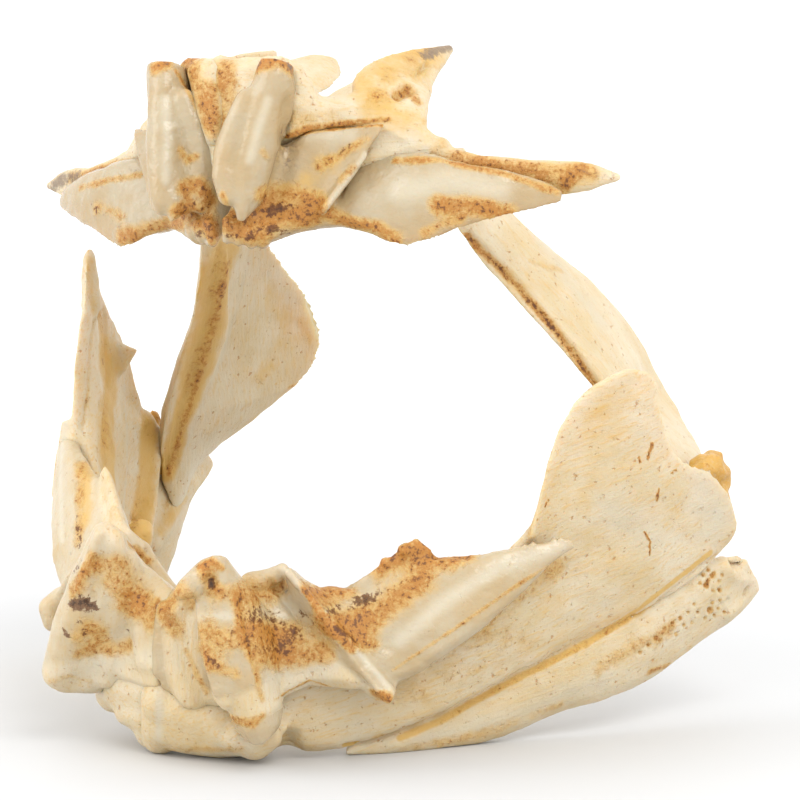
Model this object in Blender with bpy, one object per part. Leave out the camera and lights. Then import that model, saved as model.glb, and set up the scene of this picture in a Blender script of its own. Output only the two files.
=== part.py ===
"""Upper and lower jaws of a lungfish, gaping, as a dry museum specimen.

Blender 4.5 script. Metres, +Z up, the animal faces -Y and its left side is +X.
Each bone of a jaw is described once, in millimetres, for the left side and mirrored for the right:
(outward from the midline, backward, upward). Each jaw then rolls a little about the Y axis, because
the lower jaw leans on its left branch and the upper jaw is mounted slightly turned.
"""
import math

import bmesh
import bpy
from mathutils import Euler, Matrix, Vector

MM = 0.001
LEFT = 1
RIGHT = -1
SIDE_NAMES = {LEFT: "left", RIGHT: "right"}

# Driving dimensions, in millimetres and degrees
LOWER_ROLL = 5.7
UPPER_ROLL = -3.5
FRAME_CENTRE = Vector((2.55, 31.75, 4.2))
FLOOR_BLOCK = Vector((140.0, 140.0, 20.0))
UPPER_ORIGIN = Vector((0.4, 11.5, 60.0))
SEAM_HALF_GAP = 0.2
SEAM_OVERRUN = 1.2
SEAM_BLOCK = Vector((24.0, 120.0, 120.0))
SOCKET_GAP = 0.35
JOINT_PAD_CENTRES = {LEFT: Vector((39.4, 53.4, 36.4)), RIGHT: Vector((40.3, 48.6, 25.4))}
JOINT_PAD_RADII = {LEFT: Vector((2.6, 3.6, 5.4)), RIGHT: Vector((1.9, 2.9, 7.4))}

# Mesh fineness
SECTION_POINTS = 12
SECTION_FULLNESS = 0.7
STEPS_BETWEEN_RIBS = 2
DISSOLVE_DISTANCE = 0.001

BONE = ("bone", (0.83, 0.74, 0.55), 0.55)
ENAMEL = ("tooth_enamel", (0.80, 0.70, 0.50), 0.25)
CARTILAGE = ("joint_cartilage", (0.72, 0.50, 0.14), 0.45)


class Rib:
    """One cross-section of a blade: its two edges, the thickness at each, and how far it bows out."""

    def __init__(self, edge_a, edge_b, thick_a, thick_b=None, bow=0.0):
        self.edge_a = Vector(edge_a)
        self.edge_b = Vector(edge_b)
        self.thick_a = thick_a
        self.thick_b = thick_a if thick_b is None else thick_b
        self.bow = bow


def clear_scene():
    """Remove every object of the open file."""
    for old in list(bpy.data.objects):
        bpy.data.objects.remove(old, do_unlink=True)


def make_material(finish):
    """Return the Principled material of a finish, made once."""
    name, colour, roughness = finish
    material = bpy.data.materials.get(name)
    if material is None:
        material = bpy.data.materials.new(name)
        material.use_nodes = True
        shader = material.node_tree.nodes["Principled BSDF"]
        shader.inputs["Base Color"].default_value = (*colour, 1.0)
        shader.inputs["Roughness"].default_value = roughness
        shader.inputs["Metallic"].default_value = 0.0
    return material


def curve_through(before, start, end, after, t):
    """Catmull-Rom value between start and end; works for numbers and vectors."""
    return 0.5 * (2 * start + (end - before) * t
                  + (2 * before - 5 * start + 4 * end - after) * t * t
                  + (3 * start - before - 3 * end + after) * t ** 3)


def refine(ribs):
    """Put interpolated ribs between the given ones."""
    fine = []
    last = len(ribs) - 1
    for index in range(last):
        four = [ribs[max(index - 1, 0)], ribs[index], ribs[index + 1], ribs[min(index + 2, last)]]
        for step in range(STEPS_BETWEEN_RIBS):
            t = step / STEPS_BETWEEN_RIBS
            fine.append(Rib(curve_through(*[r.edge_a for r in four], t),
                            curve_through(*[r.edge_b for r in four], t),
                            curve_through(*[r.thick_a for r in four], t),
                            curve_through(*[r.thick_b for r in four], t),
                            curve_through(*[r.bow for r in four], t)))
    fine.append(ribs[-1])
    return fine


def section(rib, normal):
    """Points of one rounded cross-section, from edge a to edge b and back."""
    chord = rib.edge_b - rib.edge_a
    along = chord.normalized()
    centre = (rib.edge_a + rib.edge_b) / 2
    half_chord = chord.length / 2
    points = []
    for index in range(SECTION_POINTS):
        angle = 2 * math.pi * index / SECTION_POINTS
        across = math.cos(angle)
        share = (1 + across) / 2
        half_thick = (rib.thick_a * (1 - share) + rib.thick_b * share) / 2
        lift = math.copysign(abs(math.sin(angle)) ** SECTION_FULLNESS, math.sin(angle))
        offset = half_thick * lift + rib.bow * (1 - across * across)
        points.append(centre + along * half_chord * across + normal * offset)
    return points


def blade(ribs, outward):
    """Closed mesh lofted through ribs, as a bmesh in millimetres; bows lean to the outward direction."""
    fine = refine(ribs)
    centres = [(rib.edge_a + rib.edge_b) / 2 for rib in fine]
    shape = bmesh.new()
    rings = []
    for index, rib in enumerate(fine):
        run = centres[min(index + 1, len(fine) - 1)] - centres[max(index - 1, 0)]
        normal = run.cross(rib.edge_b - rib.edge_a).normalized()
        if normal.dot(outward) < 0:
            normal.negate()
        rings.append([shape.verts.new(point) for point in section(rib, normal)])
    for ring, following in zip(rings, rings[1:]):
        for index in range(SECTION_POINTS):
            nxt = (index + 1) % SECTION_POINTS
            shape.faces.new((ring[index], ring[nxt], following[nxt], following[index]))
    shape.faces.new(rings[0])
    shape.faces.new(reversed(rings[-1]))
    return shape


def keep_largest_surface(mesh):
    """Drop every closed surface of the mesh but the one with the most faces."""
    shape = bmesh.new()
    shape.from_mesh(mesh)
    unseen = set(shape.faces)
    groups = []
    while unseen:
        stack = [unseen.pop()]
        group = []
        while stack:
            face = stack.pop()
            group.append(face)
            for edge in face.edges:
                for neighbour in edge.link_faces:
                    if neighbour in unseen:
                        unseen.remove(neighbour)
                        stack.append(neighbour)
        groups.append(group)
    groups.sort(key=len)
    scraps = [face for group in groups[:-1] for face in group]
    bmesh.ops.delete(shape, geom=scraps, context="FACES")
    bmesh.ops.dissolve_degenerate(shape, dist=DISSOLVE_DISTANCE * MM, edges=shape.edges)
    bmesh.ops.triangulate(shape, faces=shape.faces)
    shape.to_mesh(mesh)
    shape.free()


def apply_boolean(target, operation, collection):
    """Apply one Boolean of a whole collection to the target."""
    modifier = target.modifiers.new("join", "BOOLEAN")
    modifier.operation = operation
    modifier.operand_type = "COLLECTION"
    modifier.collection = collection
    modifier.solver = "EXACT"
    modifier.use_self = True
    evaluated = target.evaluated_get(bpy.context.evaluated_depsgraph_get())
    result = bpy.data.meshes.new_from_object(evaluated)
    target.modifiers.clear()
    target.data = result


def add_mesh_object(name, shape, collection, transform):
    """Turn a millimetre bmesh into an object in metres, moved by the jaw's transform."""
    bmesh.ops.transform(shape, matrix=transform, verts=shape.verts)
    bmesh.ops.recalc_face_normals(shape, faces=shape.faces)
    bmesh.ops.scale(shape, vec=(MM, MM, MM), verts=shape.verts)
    mesh = bpy.data.meshes.new(name)
    shape.to_mesh(mesh)
    shape.free()
    piece = bpy.data.objects.new(name, mesh)
    collection.objects.link(piece)
    return piece


def fuse(name, shapes, transform, finish, parts):
    """Unite closed shapes into one named bone."""
    helpers = bpy.data.collections.new(name + "_pieces")
    bpy.context.scene.collection.children.link(helpers)
    bone = add_mesh_object(name, shapes[0], parts, transform)
    for index, shape in enumerate(shapes[1:]):
        add_mesh_object("%s_piece_%d" % (name, index), shape, helpers, transform)
    if len(shapes) > 1:
        apply_boolean(bone, "UNION", helpers)
    for helper in list(helpers.objects):
        bpy.data.objects.remove(helper, do_unlink=True)
    bpy.data.collections.remove(helpers)
    keep_largest_surface(bone.data)
    bone.data.name = name
    bone.data.materials.clear()
    bone.data.materials.append(make_material(finish))
    return bone


def subtract(bone, cutters):
    """Cut the bone by everything in the cutters' collection, then empty the collection."""
    material = bone.data.materials[0]
    for cutter in cutters.objects:
        cutter.hide_render = True
        cutter.display_type = "WIRE"
    apply_boolean(bone, "DIFFERENCE", cutters)
    for cutter in list(cutters.objects):
        bpy.data.objects.remove(cutter, do_unlink=True)
    keep_largest_surface(bone.data)
    bone.data.name = bone.name
    bone.data.materials.clear()
    bone.data.materials.append(material)


def cut_seam(bone, transform, cutters):
    """Cut the bone flat where it meets its fellow at the midline."""
    block = bmesh.new()
    bmesh.ops.create_cube(block, size=1.0)
    bmesh.ops.scale(block, vec=SEAM_BLOCK, verts=block.verts)
    bmesh.ops.translate(block, vec=(SEAM_HALF_GAP - SEAM_BLOCK.x / 2, 0.0, 0.0), verts=block.verts)
    add_mesh_object("seam_" + bone.name, block, cutters, transform)
    subtract(bone, cutters)


def cut_floor(bone, cutters):
    """Wear the bone flat where it stands on the floor."""
    block = bmesh.new()
    bmesh.ops.create_cube(block, size=1.0)
    bmesh.ops.scale(block, vec=FLOOR_BLOCK, verts=block.verts)
    bmesh.ops.translate(block, vec=(0.0, 0.0, -FLOOR_BLOCK.z / 2), verts=block.verts)
    add_mesh_object("floor_" + bone.name, block, cutters, Matrix.Identity(4))
    subtract(bone, cutters)


def cut_sockets(bone, neighbours, cutters):
    """Cut the bone back from its neighbours, leaving the socket gap."""
    for neighbour in neighbours:
        grown = neighbour.data.copy()
        shape = bmesh.new()
        shape.from_mesh(grown)
        shape.normal_update()
        shifts = [vert.normal * SOCKET_GAP * MM for vert in shape.verts]
        for vert, shift in zip(shape.verts, shifts):
            vert.co += shift
        shape.to_mesh(grown)
        shape.free()
        cutters.objects.link(bpy.data.objects.new("socket_" + neighbour.name, grown))
    subtract(bone, cutters)


def side_matrix(side):
    """Mirror for the right side."""
    return Matrix.Diagonal((side, 1.0, 1.0, 1.0))


def lower_transform(side):
    """Lower jaw frame to the world, still in millimetres."""
    roll = Euler((0.0, math.radians(LOWER_ROLL), 0.0)).to_matrix().to_4x4()
    return Matrix.Translation(-FRAME_CENTRE) @ roll @ side_matrix(side)


def upper_transform(side):
    """Upper jaw frame to the world, still in millimetres."""
    roll = Euler((0.0, math.radians(UPPER_ROLL), 0.0)).to_matrix().to_4x4()
    return Matrix.Translation(UPPER_ORIGIN - FRAME_CENTRE) @ roll @ side_matrix(side)


OUT = Vector((1.0, -0.5, 0.0))
FRONT = Vector((0.3, -1.0, 0.0))
UP = Vector((0.0, 0.0, 1.0))


def mandible_shapes(side):
    """Front bone, branch and tall coronoid plate of one side; the right plate has broken behind."""
    start = -SEAM_OVERRUN
    branch = [Rib((start, 4.6, 4.8), (start, 6.0, 20.5), 7.8),
              Rib((5.0, 5.8, 4.3), (5.5, 7.5, 21.0), 8.6, 8.0, 0.3),
              Rib((11.5, 9.0, 6.2), (11.0, 11.5, 22.0), 6.5, 7.0, 0.3),
              Rib((16.6, 13.2, 6.6), (16.5, 15.5, 23.0), 4.4, 6.0, 0.4),
              Rib((22.6, 18.0, 9.8), (22.5, 19.5, 25.0), 3.4, 5.0, 0.3),
              Rib((27.5, 25.5, 13.6), (29.0, 22.0, 30.0), 2.6, 3.6, 0.2),
              Rib((29.6, 29.0, 15.8), (32.6, 25.0, 35.5), 2.2, 2.6),
              Rib((31.5, 32.5, 17.4), (34.0, 27.0, 37.5), 2.0, 2.0)]
    plate = [Rib((27.5, 26.0, 16.0), (33.9, 23.2, 34.5), 2.2, 1.6),
             Rib((29.6, 29.0, 16.6), (34.6, 24.0, 43.0), 2.0, 1.5, 0.2),
             Rib((31.6, 32.5, 17.6), (35.4, 26.4, 49.5), 1.9, 1.3, 0.4),
             Rib((33.5, 36.0, 19.2), (38.4, 30.0, 53.2), 1.8, 1.2, 0.5),
             Rib((35.2, 39.5, 20.6), (40.6, 33.4, 54.4), 1.7, 1.1, 0.5),
             Rib((36.8, 42.8, 21.9), (41.3, 38.2, 47.5), 1.7, 1.1, 0.4),
             Rib((38.3, 46.2, 23.6), (41.6, 42.6, 42.3), 1.6, 1.2, 0.3)]
    if side == LEFT:
        plate += [Rib((39.8, 49.6, 25.6), (43.0, 48.0, 40.6), 1.6, 1.2, 0.2),
                  Rib((41.2, 52.4, 28.0), (44.0, 52.0, 36.4), 1.6, 1.2),
                  Rib((42.4, 53.8, 30.2), (44.0, 53.8, 33.2), 1.4, 1.2)]
    else:
        plate.append(Rib((39.0, 47.6, 24.6), (41.5, 44.1, 40.2), 1.6, 1.0))
    return [blade(branch, OUT), blade(plate, OUT)]


def angular_shapes(side):
    """Lower outer bone of one side; the right one hangs lower and reaches the floor."""
    drop = 1.0 if side == RIGHT else 0.0
    ribs = [Rib((16.6, 14.2, 5.7), (17.0, 13.8, 6.6), 0.8),
            Rib((20.4, 19.6, 5.6), (21.2, 18.6, 8.6), 1.8, 1.2),
            Rib((23.6, 25.0, 6.0), (25.5, 26.2, 12.0), 3.2, 1.6, 0.3),
            Rib((26.8, 30.0, 7.2 - 3.4 * drop), (29.3, 31.0, 15.2), 3.2, 1.6, 0.5),
            Rib((30.4, 36.0, 9.5 - 9.2 * drop), (33.2, 37.2, 18.6), 3.2, 1.5, 0.6),
            Rib((33.8, 42.0, 11.1 - 11.1 * drop), (36.9, 43.6, 21.3), 3.0, 1.4, 0.6),
            Rib((36.2, 48.6, 13.2 - 1.4 * drop), (39.4, 49.4, 24.6), 2.8, 1.4, 0.5),
            Rib((38.5, 54.6, 16.8), (41.4, 54.6, 28.2), 2.6, 1.4, 0.4),
            Rib((40.4, 59.0, 19.4), (42.4, 58.2, 28.6), 2.2, 1.3, 0.3),
            Rib((41.3, 62.2, 21.3), (42.0, 61.6, 26.4), 1.6, 1.1),
            Rib((41.5, 64.6, 22.7), (41.6, 64.4, 23.8), 0.8)]
    return [blade(ribs, OUT)]


def lower_plate_shapes():
    """Three cutting ridges of one lower tooth plate, fused to their base."""
    start = -SEAM_OVERRUN
    base = [Rib((start, 0.2, 12.4), (start, 1.2, 23.2), 3.0),
            Rib((5.5, 1.0, 11.8), (5.0, 3.0, 25.5), 4.0),
            Rib((12.0, 3.6, 12.6), (9.5, 6.0, 26.0), 5.0),
            Rib((15.8, 6.6, 15.2), (11.8, 9.0, 25.4), 4.6),
            Rib((20.5, 8.6, 15.6), (15.0, 11.0, 26.4), 4.6),
            Rib((25.0, 13.4, 16.8), (18.4, 13.6, 26.4), 4.0),
            Rib((28.2, 15.0, 19.6), (22.0, 16.6, 30.4), 3.6),
            Rib((32.6, 20.0, 25.4), (28.0, 18.8, 31.0), 2.8),
            Rib((35.8, 24.8, 30.8), (33.0, 23.0, 33.2), 2.2),
            Rib((37.5, 26.9, 33.0), (36.9, 26.4, 34.2), 1.2)]
    first = [Rib((8.1, -2.8, 30.7), (7.6, -1.0, 30.0), 1.8, 2.2),
             Rib((8.9, -3.2, 28.0), (7.4, 1.8, 26.6), 3.6, 5.0),
             Rib((10.6, -3.4, 22.5), (7.6, 4.4, 21.8), 4.4, 9.5),
             Rib((13.0, -3.0, 16.5), (9.5, 4.6, 17.0), 4.4, 9.5),
             Rib((14.9, -1.4, 11.0), (11.0, 4.6, 11.6), 3.6, 7.0),
             Rib((15.0, -0.4, 9.6), (12.0, 4.2, 10.4), 2.0, 4.4)]
    second = [Rib((13.2, 4.8, 29.1), (12.4, 6.2, 28.0), 0.9, 1.8),
              Rib((15.0, 4.8, 27.0), (12.6, 9.6, 24.8), 1.0, 4.8),
              Rib((18.4, 6.0, 23.0), (14.6, 12.6, 22.0), 1.0, 7.6),
              Rib((22.0, 7.8, 18.6), (17.6, 13.6, 18.4), 1.0, 7.2),
              Rib((25.4, 9.8, 14.8), (22.0, 13.8, 15.6), 1.2, 4.6)]
    third = [Rib((13.8, 13.6, 25.2), (13.8, 14.6, 19.0), 2.4, 4.0),
             Rib((17.2, 13.2, 27.0), (17.6, 15.4, 19.0), 1.8, 5.0),
             Rib((20.2, 15.0, 30.4), (20.6, 16.6, 20.0), 1.4, 5.0),
             Rib((22.7, 16.2, 32.8), (23.4, 18.0, 21.0), 1.3, 4.6),
             Rib((24.8, 18.0, 30.8), (26.0, 19.4, 23.0), 1.2, 4.0),
             Rib((29.6, 20.6, 32.0), (30.0, 21.6, 26.0), 1.0, 3.2),
             Rib((34.0, 23.6, 33.4), (34.0, 24.2, 29.6), 0.9, 2.4),
             Rib((37.0, 26.2, 34.2), (36.8, 26.4, 32.6), 0.8, 1.2)]
    apex = Vector((5.0, 13.0, 18.4))
    first_crown = [Rib((8.1, -1.5, 29.2), (7.7, -0.7, 21.6), 1.7, 4.7),
                   Rib((7.4, 1.6, 26.4), (7.2, 3.2, 19.0), 3.0, 7.0),
                   Rib((6.6, 6.6, 24.0), (6.4, 7.2, 17.0), 3.0, 8.0),
                   Rib((5.8, 10.4, 21.0), (5.6, 10.6, 15.0), 3.0, 7.0),
                   Rib(apex, apex + Vector((0.0, 0.4, -4.6)), 2.6, 5.0)]
    second_crown = [Rib((12.6, 6.7, 26.6), (13.3, 7.4, 20.6), 1.5, 4.6),
                    Rib((10.4, 9.0, 24.4), (10.4, 9.6, 17.0), 2.6, 6.0),
                    Rib(apex + Vector((1.4, -1.4, 0.6)), apex + Vector((1.4, -1.0, -4.6)), 3.0, 6.0)]
    third_crown = [Rib((14.6, 14.2, 25.4), (14.6, 14.6, 18.4), 2.2, 4.4),
                   Rib((10.0, 14.0, 21.2), (10.0, 14.2, 15.6), 2.6, 5.0),
                   Rib(apex + Vector((-1.2, 0.6, -0.4)), apex + Vector((-1.2, 0.8, -4.6)), 2.6, 4.4)]
    return [blade(base, FRONT), blade(first, OUT), blade(second, OUT), blade(third, FRONT),
            blade(first_crown, OUT), blade(second_crown, OUT), blade(third_crown, FRONT)]


def palate_shapes():
    """Front wall, side process, ascending process and roof shelf of one half of the palate."""
    start = -SEAM_OVERRUN
    wall = [Rib((start, 3.6, 8.0), (start, 4.6, 24.4), 3.4),
            Rib((4.0, 5.2, 8.5), (4.5, 6.0, 24.6), 3.8),
            Rib((7.8, 7.4, 9.0), (8.6, 7.6, 23.8), 3.8),
            Rib((10.4, 9.6, 9.0), (10.6, 9.4, 19.0), 3.4),
            Rib((14.0, 12.0, 8.6), (13.8, 11.4, 18.4), 3.6),
            Rib((18.4, 13.8, 8.0), (18.6, 14.0, 17.4), 3.2),
            Rib((22.6, 15.2, 7.4), (22.6, 15.4, 13.8), 2.8),
            Rib((27.2, 16.6, 7.0), (27.2, 16.0, 12.2), 2.6),
            Rib((32.0, 19.0, 6.8), (32.0, 18.6, 11.4), 2.4),
            Rib((37.0, 21.2, 7.0), (37.4, 21.0, 11.0), 2.2),
            Rib((40.0, 22.2, 7.8), (40.2, 22.2, 10.0), 1.6),
            Rib((42.2, 22.8, 8.4), (42.2, 22.8, 9.2), 0.8)]
    ascending = [Rib((20.6, 14.2, 12.6), (13.4, 11.4, 16.8), 3.6),
                 Rib((20.6, 15.6, 15.2), (12.4, 12.6, 20.6), 2.6, 2.0),
                 Rib((18.9, 18.4, 17.7), (11.8, 15.8, 22.8), 1.9, 1.6),
                 Rib((16.8, 22.6, 19.2), (12.2, 21.0, 24.1), 1.6, 1.4),
                 Rib((14.6, 28.0, 21.4), (12.6, 27.4, 24.4), 1.4, 1.2),
                 Rib((13.2, 33.0, 23.4), (12.9, 32.8, 24.5), 1.0)]
    shelf = [Rib((12.0, 10.4, 14.4), (start, 6.4, 15.4), 3.0),
             Rib((15.4, 14.0, 15.4), (start, 12.0, 16.6), 2.4),
             Rib((15.6, 19.0, 18.0), (0.8, 19.0, 17.8), 2.0, 1.6, 0.6),
             Rib((13.6, 26.0, 20.6), (1.2, 26.0, 19.4), 1.6, 1.4, 0.8),
             Rib((11.8, 32.0, 22.6), (3.0, 32.6, 21.0), 1.4, 1.2, 0.6),
             Rib((10.0, 36.0, 23.4), (6.2, 36.4, 22.8), 1.0)]
    return [blade(wall, FRONT), blade(ascending, UP), blade(shelf, UP)]


def upper_plate_shapes():
    """Tusk-like front ridge and two cutting ridges of one upper tooth plate."""
    first = [Rib((8.5, 2.0, 24.4), (7.6, 6.0, 23.4), 3.4, 3.8),
             Rib((8.2, 1.2, 21.5), (7.0, 6.0, 20.6), 4.8, 5.0),
             Rib((7.3, 0.1, 16.0), (6.2, 5.4, 15.6), 4.2, 5.0),
             Rib((6.3, -0.8, 11.0), (5.4, 4.4, 11.2), 3.0, 4.6),
             Rib((5.4, -1.2, 7.8), (4.8, 2.8, 8.4), 2.2, 3.4),
             Rib((5.0, -1.0, 5.7), (4.6, 0.4, 6.2), 0.9)]
    second = [Rib((12.7, 5.3, 6.5), (18.4, 10.5, 16.3), 0.7, 0.8),
              Rib((11.6, 5.8, 6.0), (16.4, 10.3, 16.2), 2.0, 1.8),
              Rib((9.6, 6.0, 5.4), (13.2, 9.8, 15.8), 3.4, 2.6),
              Rib((6.8, 5.2, 5.0), (9.6, 7.4, 15.6), 4.0, 3.0),
              Rib((3.8, 4.2, 5.0), (6.4, 5.8, 14.6), 4.0, 3.0)]
    third = [Rib((12.6, 8.6, 4.4), (13.6, 12.4, 11.6), 4.4),
             Rib((16.4, 8.9, 3.4), (17.0, 12.8, 12.4), 3.0, 4.0),
             Rib((20.8, 9.6, 1.8), (21.4, 12.4, 12.8), 1.0, 3.0),
             Rib((25.6, 11.8, 3.4), (26.2, 13.8, 11.6), 0.9, 2.8),
             Rib((30.4, 14.2, 4.8), (31.0, 16.0, 10.4), 0.8, 2.4),
             Rib((34.2, 16.6, 5.6), (34.6, 17.8, 9.0), 0.8, 2.0),
             Rib((36.7, 18.3, 6.3), (36.8, 18.7, 7.6), 0.7)]
    heel = [Rib((0.5, 1.2, 3.4), (0.5, 5.0, 9.0), 2.4),
            Rib((4.4, 3.0, 3.0), (3.8, 8.0, 9.0), 3.6),
            Rib((8.8, 5.0, 4.6), (8.0, 10.6, 9.2), 4.0),
            Rib((12.8, 8.0, 4.6), (12.0, 12.8, 9.6), 4.2),
            Rib((16.2, 9.8, 3.8), (15.6, 13.4, 9.6), 4.0)]
    return [blade(first, OUT), blade(second, FRONT), blade(third, FRONT), blade(heel, FRONT)]


def suspensorium_shapes():
    """Strut that carries the lower jaw, with its thin fan behind."""
    fan = [Rib((18.2, 19.0, 12.0), (18.0, 27.0, 12.4), 2.0, 1.2),
           Rib((18.4, 20.6, 8.0), (18.2, 31.0, 7.6), 2.2, 1.2, 0.3),
           Rib((18.9, 23.6, 2.6), (19.9, 36.6, 2.2), 2.4, 1.2, 1.2),
           Rib((22.9, 27.4, -4.6), (21.4, 43.8, -3.0), 2.4, 1.2, 1.8),
           Rib((28.1, 30.9, -12.0), (22.6, 51.8, -9.2), 2.6, 1.2, 2.0),
           Rib((31.5, 32.5, -17.4), (24.2, 55.4, -14.6), 2.6, 1.2, 1.7),
           Rib((34.1, 33.5, -22.0), (27.8, 54.7, -19.8), 3.0, 1.3, 0.4),
           Rib((36.4, 35.4, -26.4), (33.8, 50.4, -24.6), 3.2, 1.8, 0.2),
           Rib((37.7, 37.3, -30.0), (38.0, 46.4, -28.6), 3.4, 2.6),
           Rib((38.3, 38.3, -32.6), (39.2, 43.9, -31.8), 3.0, 2.6),
           Rib((38.8, 38.8, -35.0), (39.7, 42.3, -34.6), 2.4)]
    flange = [Rib((18.6, 21.4, 8.6), (19.6, 25.4, 8.6), 1.6),
              Rib((19.3, 24.4, 2.4), (20.0, 29.0, 2.4), 1.8),
              Rib((23.6, 28.2, -5.0), (22.8, 33.4, -4.4), 2.2),
              Rib((28.9, 31.6, -12.2), (26.8, 38.0, -11.6), 2.4),
              Rib((35.1, 34.3, -21.6), (33.0, 40.2, -21.0), 2.6),
              Rib((38.1, 37.6, -29.0), (37.2, 41.4, -28.6), 2.8)]
    return [blade(fan, OUT), blade(flange, OUT)]


def add_joint_pad(side, parts):
    """Dried cartilage between a strut and its lower jaw branch."""
    shape = bmesh.new()
    bmesh.ops.create_icosphere(shape, subdivisions=2, radius=1.0)
    bmesh.ops.scale(shape, vec=JOINT_PAD_RADII[side], verts=shape.verts)
    bmesh.ops.translate(shape, vec=JOINT_PAD_CENTRES[side], verts=shape.verts)
    transform = lower_transform(side)
    pad = add_mesh_object("joint_pad_" + SIDE_NAMES[side], shape, parts, transform)
    pad.data.materials.append(make_material(CARTILAGE))
    return pad


def main():
    """Build every bone of both jaws."""
    clear_scene()
    parts = bpy.data.collections.new("lungfish_jaws")
    cutters = bpy.data.collections.new("cutters")
    bpy.context.scene.collection.children.link(parts)
    bpy.context.scene.collection.children.link(cutters)
    for side, word in SIDE_NAMES.items():
        lower = lower_transform(side)
        upper = upper_transform(side)
        lower_teeth = fuse("lower_tooth_plate_" + word, lower_plate_shapes(), lower, ENAMEL, parts)
        mandible = fuse("mandible_" + word, mandible_shapes(side), lower, BONE, parts)
        angular = fuse("angular_" + word, angular_shapes(side), lower, BONE, parts)
        upper_teeth = fuse("upper_tooth_plate_" + word, upper_plate_shapes(), upper, ENAMEL, parts)
        palate = fuse("palate_" + word, palate_shapes(), upper, BONE, parts)
        strut = fuse("suspensorium_" + word, suspensorium_shapes(), upper, BONE, parts)
        pad = add_joint_pad(side, parts)
        for bone in (lower_teeth, mandible):
            cut_seam(bone, lower, cutters)
        for bone in (upper_teeth, palate):
            cut_seam(bone, upper, cutters)
        cut_floor(mandible, cutters)
        cut_floor(angular, cutters)
        cut_sockets(mandible, [lower_teeth], cutters)
        cut_sockets(angular, [mandible], cutters)
        cut_sockets(palate, [upper_teeth], cutters)
        cut_sockets(pad, [mandible, angular], cutters)
        cut_sockets(strut, [palate, mandible, angular, pad], cutters)


main()
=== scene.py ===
"""Dry upper and lower jaws of a lungfish, gaping, dressed as a museum specimen."""
import logging
import math
from dataclasses import dataclass, replace
from enum import Enum
from functools import partial
from typing import Iterable, Sequence

import bpy
import numpy as np
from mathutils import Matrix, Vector, noise
from mathutils.bvhtree import BVHTree


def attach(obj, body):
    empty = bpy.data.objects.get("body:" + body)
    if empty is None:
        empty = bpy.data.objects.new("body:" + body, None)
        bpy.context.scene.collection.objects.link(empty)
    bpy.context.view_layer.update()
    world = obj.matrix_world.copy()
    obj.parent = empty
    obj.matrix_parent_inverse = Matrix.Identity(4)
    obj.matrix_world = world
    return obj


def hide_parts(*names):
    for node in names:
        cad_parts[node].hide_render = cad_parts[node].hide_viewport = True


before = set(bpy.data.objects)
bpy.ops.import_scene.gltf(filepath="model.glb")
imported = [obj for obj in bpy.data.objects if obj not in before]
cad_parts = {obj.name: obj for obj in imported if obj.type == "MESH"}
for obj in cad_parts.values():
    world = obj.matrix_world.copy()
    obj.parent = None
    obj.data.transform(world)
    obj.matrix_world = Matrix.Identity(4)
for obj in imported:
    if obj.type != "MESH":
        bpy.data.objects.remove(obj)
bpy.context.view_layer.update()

log = logging.getLogger("lungfish_jaws")

MM = 0.001
Colour = tuple[float, float, float]
Path = tuple[tuple[float, ...], ...]


class Tone(Enum):
    """What a brush lays on the surface; each one is a vertex attribute of the piece."""

    # Stains, and the painted shade of the crevices and of one top-lit surface.
    STAIN_AND_SHADE = "stain_and_shade"
    DARK = "dark"
    GREY = "grey"
    # Gold stains, and in two places painted shade.
    GOLD = "gold"
    PALE = "pale"
    ENAMEL = "enamel"


@dataclass(frozen=True)
class Eye:
    """Where the specimen is looked at from, and how its picture plane is divided."""

    azimuth: float = 34.0
    elevation: float = 8.0
    distance: float = 500.0
    target: tuple[float, float, float] = (8.35, 3.25, 38.8)
    pitch: float = 0.12
    middle: float = 400.0
    sensor: float = 36.0

    def back(self) -> Vector:
        """Return the direction from the target to the eye."""
        turn, tilt = math.radians(self.azimuth), math.radians(self.elevation)
        return Vector((math.sin(turn) * math.cos(tilt), -math.cos(turn) * math.cos(tilt), math.sin(tilt)))

    def place(self) -> Vector:
        """Return the eye's place in metres."""
        return (Vector(self.target) + self.back() * self.distance) * MM

    def ray(self, x: float, y: float) -> Vector:
        """Return the direction in which the eye sees a point of the picture.

        Args:
            x: Steps to the right of the picture's left edge.
            y: Steps down from its top edge.

        Returns:
            The direction, one metre long.
        """
        turn = math.radians(self.azimuth)
        right = Vector((math.cos(turn), math.sin(turn), 0.0))
        up = self.back().cross(right)
        seen = right * (x - self.middle) * self.pitch + up * (self.middle - y) * self.pitch
        return (Vector(self.target) * MM + seen * MM - self.place()).normalized()

    def lens(self) -> float:
        """Return the focal length that gives the picture its width."""
        return self.sensor * self.distance / (2 * self.middle * self.pitch)


EYE = Eye()


@dataclass(frozen=True)
class Brush:
    """A painted line: its tone, how strong, how wide in millimetres, and where it runs."""

    tone: Tone
    strength: float
    width: float
    path: Path


@dataclass(frozen=True)
class Carving:
    """A carved line: how far the surface rises, how wide, both in millimetres, and where it runs."""

    rise: float
    width: float
    path: Path


@dataclass(frozen=True)
class Clay:
    """A rounded rope added to a bone: how proud it stands, and its points with radii in millimetres.

    Where deep_as is given, the whole rope lies as deep as the bone seen there.
    """

    rise: float
    path: Path
    deep_as: tuple[float, float] | None = None


def vertex_values(mesh: bpy.types.Mesh, name: str) -> np.ndarray:
    """Return the places or normals of a mesh's vertices.

    Args:
        mesh: The mesh to read.
        name: Either co or normal.

    Returns:
        One row of three numbers a vertex.
    """
    values = np.zeros(len(mesh.vertices) * 3, np.float32)
    mesh.vertices.foreach_get(name, values)
    return values.reshape(-1, 3).astype(float)


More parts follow.
